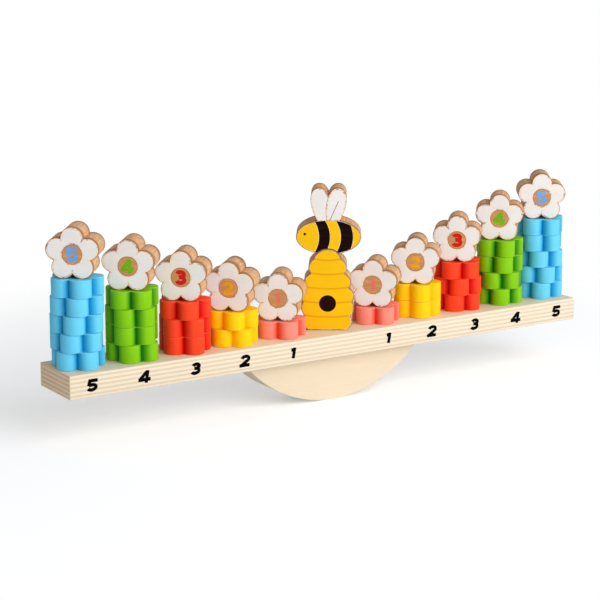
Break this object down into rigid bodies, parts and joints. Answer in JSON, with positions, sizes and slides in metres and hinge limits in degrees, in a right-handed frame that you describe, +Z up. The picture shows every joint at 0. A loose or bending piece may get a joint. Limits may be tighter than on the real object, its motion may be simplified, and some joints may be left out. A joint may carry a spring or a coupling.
{
  "type": "balance game",
  "caption": "Wooden balance game: plank on a half-round rocker with stacks of flower discs, number daisies, a beehive and a bee to keep in balance.",
  "frame": {"origin": "middle of the small flat under the rocker, on the surface that the game stands on", "axes": "+Z up, +X along the plank towards the right-hand stacks, numbered front of the plank towards -Y"},
  "size_m": [0.4086, 0.0432, 0.1435],
  "materials": {
    "plywood": "sanded bare birch plywood, layers showing at the edges",
    "dowel_beech": "bare turned beech",
    "paint_pink": "satin coral pink paint on wood",
    "paint_yellow": "satin yellow paint on wood",
    "paint_red": "satin red paint on wood",
    "paint_green": "satin green paint on wood",
    "paint_blue": "satin sky blue paint on wood",
    "daisy_white": "white paint on the faces, bare beech edges and centres",
    "honey_yellow": "satin honey yellow paint on the faces, bare beech edges"
  },
  "bodies": {
    "base": {"plank": "plywood", "rocker": "plywood", "dowel_left": "dowel_beech", "dowel_right": "dowel_beech"},
    "disc_left1_1": {"disc_left1_1": "paint_pink"},
    "daisy_left1": {"daisy_left1": "daisy_white"},
    "disc_left2_1": {"disc_left2_1": "paint_yellow"},
    "disc_left2_2": {"disc_left2_2": "paint_yellow"},
    "daisy_left2": {"daisy_left2": "daisy_white"},
    "disc_left3_1": {"disc_left3_1": "paint_red"},
    "disc_left3_2": {"disc_left3_2": "paint_red"},
    "disc_left3_3": {"disc_left3_3": "paint_red"},
    "daisy_left3": {"daisy_left3": "daisy_white"},
    "disc_left4_1": {"disc_left4_1": "paint_green"},
    "disc_left4_2": {"disc_left4_2": "paint_green"},
    "disc_left4_3": {"disc_left4_3": "paint_green"},
    "disc_left4_4": {"disc_left4_4": "paint_green"},
    "daisy_left4": {"daisy_left4": "daisy_white"},
    "disc_left5_1": {"disc_left5_1": "paint_blue"},
    "disc_left5_2": {"disc_left5_2": "paint_blue"},
    "disc_left5_3": {"disc_left5_3": "paint_blue"},
    "disc_left5_4": {"disc_left5_4": "paint_blue"},
    "disc_left5_5": {"disc_left5_5": "paint_blue"},
    "daisy_left5": {"daisy_left5": "daisy_white"},
    "disc_right1_1": {"disc_right1_1": "paint_pink"},
    "daisy_right1": {"daisy_right1": "daisy_white"},
    "disc_right2_1": {"disc_right2_1": "paint_yellow"},
    "disc_right2_2": {"disc_right2_2": "paint_yellow"},
    "daisy_right2": {"daisy_right2": "daisy_white"},
    "disc_right3_1": {"disc_right3_1": "paint_red"},
    "disc_right3_2": {"disc_right3_2": "paint_red"},
    "disc_right3_3": {"disc_right3_3": "paint_red"},
    "daisy_right3": {"daisy_right3": "daisy_white"},
    "disc_right4_1": {"disc_right4_1": "paint_green"},
    "disc_right4_2": {"disc_right4_2": "paint_green"},
    "disc_right4_3": {"disc_right4_3": "paint_green"},
    "disc_right4_4": {"disc_right4_4": "paint_green"},
    "daisy_right4": {"daisy_right4": "daisy_white"},
    "disc_right5_1": {"disc_right5_1": "paint_blue"},
    "disc_right5_2": {"disc_right5_2": "paint_blue"},
    "disc_right5_3": {"disc_right5_3": "paint_blue"},
    "disc_right5_4": {"disc_right5_4": "paint_blue"},
    "disc_right5_5": {"disc_right5_5": "paint_blue"},
    "daisy_right5": {"daisy_right5": "daisy_white"},
    "hive": {"hive": "honey_yellow"},
    "bee": {"bee": "honey_yellow"}
  },
  "joints": [
    {"name": "disc_left1_1_lift", "type": "slide", "parent": "base", "child": "disc_left1_1", "axis": [0, 0, 1], "range_m": [0, 0.012]},
    {"name": "daisy_left1_lift", "type": "slide", "parent": "disc_left1_1", "child": "daisy_left1", "axis": [0, 0, 1], "range_m": [0, 0.01]},
    {"name": "disc_left2_1_lift", "type": "slide", "parent": "base", "child": "disc_left2_1", "axis": [0, 0, 1], "range_m": [0, 0.012]},
    {"name": "disc_left2_2_lift", "type": "slide", "parent": "disc_left2_1", "child": "disc_left2_2", "axis": [0, 0, 1], "range_m": [0, 0.012]},
    {"name": "daisy_left2_lift", "type": "slide", "parent": "disc_left2_2", "child": "daisy_left2", "axis": [0, 0, 1], "range_m": [0, 0.01]},
    {"name": "disc_left3_1_lift", "type": "slide", "parent": "base", "child": "disc_left3_1", "axis": [0, 0, 1], "range_m": [0, 0.012]},
    {"name": "disc_left3_2_lift", "type": "slide", "parent": "disc_left3_1", "child": "disc_left3_2", "axis": [0, 0, 1], "range_m": [0, 0.012]},
    {"name": "disc_left3_3_lift", "type": "slide", "parent": "disc_left3_2", "child": "disc_left3_3", "axis": [0, 0, 1], "range_m": [0, 0.012]},
    {"name": "daisy_left3_lift", "type": "slide", "parent": "disc_left3_3", "child": "daisy_left3", "axis": [0, 0, 1], "range_m": [0, 0.01]},
    {"name": "disc_left4_1_lift", "type": "slide", "parent": "base", "child": "disc_left4_1", "axis": [0, 0, 1], "range_m": [0, 0.012]},
    {"name": "disc_left4_2_lift", "type": "slide", "parent": "disc_left4_1", "child": "disc_left4_2", "axis": [0, 0, 1], "range_m": [0, 0.012]},
    {"name": "disc_left4_3_lift", "type": "slide", "parent": "disc_left4_2", "child": "disc_left4_3", "axis": [0, 0, 1], "range_m": [0, 0.012]},
    {"name": "disc_left4_4_lift", "type": "slide", "parent": "disc_left4_3", "child": "disc_left4_4", "axis": [0, 0, 1], "range_m": [0, 0.012]},
    {"name": "daisy_left4_lift", "type": "slide", "parent": "disc_left4_4", "child": "daisy_left4", "axis": [0, 0, 1], "range_m": [0, 0.01]},
    {"name": "disc_left5_1_lift", "type": "slide", "parent": "base", "child": "disc_left5_1", "axis": [0, 0, 1], "range_m": [0, 0.012]},
    {"name": "disc_left5_2_lift", "type": "slide", "parent": "disc_left5_1", "child": "disc_left5_2", "axis": [0, 0, 1], "range_m": [0, 0.012]},
    {"name": "disc_left5_3_lift", "type": "slide", "parent": "disc_left5_2", "child": "disc_left5_3", "axis": [0, 0, 1], "range_m": [0, 0.012]},
    {"name": "disc_left5_4_lift", "type": "slide", "parent": "disc_left5_3", "child": "disc_left5_4", "axis": [0, 0, 1], "range_m": [0, 0.012]},
    {"name": "disc_left5_5_lift", "type": "slide", "parent": "disc_left5_4", "child": "disc_left5_5", "axis": [0, 0, 1], "range_m": [0, 0.012]},
    {"name": "daisy_left5_lift", "type": "slide", "parent": "disc_left5_5", "child": "daisy_left5", "axis": [0, 0, 1], "range_m": [0, 0.01]},
    {"name": "disc_right1_1_lift", "type": "slide", "parent": "base", "child": "disc_right1_1", "axis": [0, 0, 1], "range_m": [0, 0.012]},
    {"name": "daisy_right1_lift", "type": "slide", "parent": "disc_right1_1", "child": "daisy_right1", "axis": [0, 0, 1], "range_m": [0, 0.01]},
    {"name": "disc_right2_1_lift", "type": "slide", "parent": "base", "child": "disc_right2_1", "axis": [0, 0, 1], "range_m": [0, 0.012]},
    {"name": "disc_right2_2_lift", "type": "slide", "parent": "disc_right2_1", "child": "disc_right2_2", "axis": [0, 0, 1], "range_m": [0, 0.012]},
    {"name": "daisy_right2_lift", "type": "slide", "parent": "disc_right2_2", "child": "daisy_right2", "axis": [0, 0, 1], "range_m": [0, 0.01]},
    {"name": "disc_right3_1_lift", "type": "slide", "parent": "base", "child": "disc_right3_1", "axis": [0, 0, 1], "range_m": [0, 0.012]},
    {"name": "disc_right3_2_lift", "type": "slide", "parent": "disc_right3_1", "child": "disc_right3_2", "axis": [0, 0, 1], "range_m": [0, 0.012]},
    {"name": "disc_right3_3_lift", "type": "slide", "parent": "disc_right3_2", "child": "disc_right3_3", "axis": [0, 0, 1], "range_m": [0, 0.012]},
    {"name": "daisy_right3_lift", "type": "slide", "parent": "disc_right3_3", "child": "daisy_right3", "axis": [0, 0, 1], "range_m": [0, 0.01]},
    {"name": "disc_right4_1_lift", "type": "slide", "parent": "base", "child": "disc_right4_1", "axis": [0, 0, 1], "range_m": [0, 0.012]},
    {"name": "disc_right4_2_lift", "type": "slide", "parent": "disc_right4_1", "child": "disc_right4_2", "axis": [0, 0, 1], "range_m": [0, 0.012]},
    {"name": "disc_right4_3_lift", "type": "slide", "parent": "disc_right4_2", "child": "disc_right4_3", "axis": [0, 0, 1], "range_m": [0, 0.012]},
    {"name": "disc_right4_4_lift", "type": "slide", "parent": "disc_right4_3", "child": "disc_right4_4", "axis": [0, 0, 1], "range_m": [0, 0.012]},
    {"name": "daisy_right4_lift", "type": "slide", "parent": "disc_right4_4", "child": "daisy_right4", "axis": [0, 0, 1], "range_m": [0, 0.01]},
    {"name": "disc_right5_1_lift", "type": "slide", "parent": "base", "child": "disc_right5_1", "axis": [0, 0, 1], "range_m": [0, 0.012]},
    {"name": "disc_right5_2_lift", "type": "slide", "parent": "disc_right5_1", "child": "disc_right5_2", "axis": [0, 0, 1], "range_m": [0, 0.012]},
    {"name": "disc_right5_3_lift", "type": "slide", "parent": "disc_right5_2", "child": "disc_right5_3", "axis": [0, 0, 1], "range_m": [0, 0.012]},
    {"name": "disc_right5_4_lift", "type": "slide", "parent": "disc_right5_3", "child": "disc_right5_4", "axis": [0, 0, 1], "range_m": [0, 0.012]},
    {"name": "disc_right5_5_lift", "type": "slide", "parent": "disc_right5_4", "child": "disc_right5_5", "axis": [0, 0, 1], "range_m": [0, 0.012]},
    {"name": "daisy_right5_lift", "type": "slide", "parent": "disc_right5_5", "child": "daisy_right5", "axis": [0, 0, 1], "range_m": [0, 0.01]},
    {"name": "hive_lift", "type": "slide", "parent": "base", "child": "hive", "axis": [0, 0, 1], "range_m": [0, 0.012]},
    {"name": "bee_lift", "type": "slide", "parent": "hive", "child": "bee", "axis": [0, 0, 1], "range_m": [0, 0.02]}
  ]
}
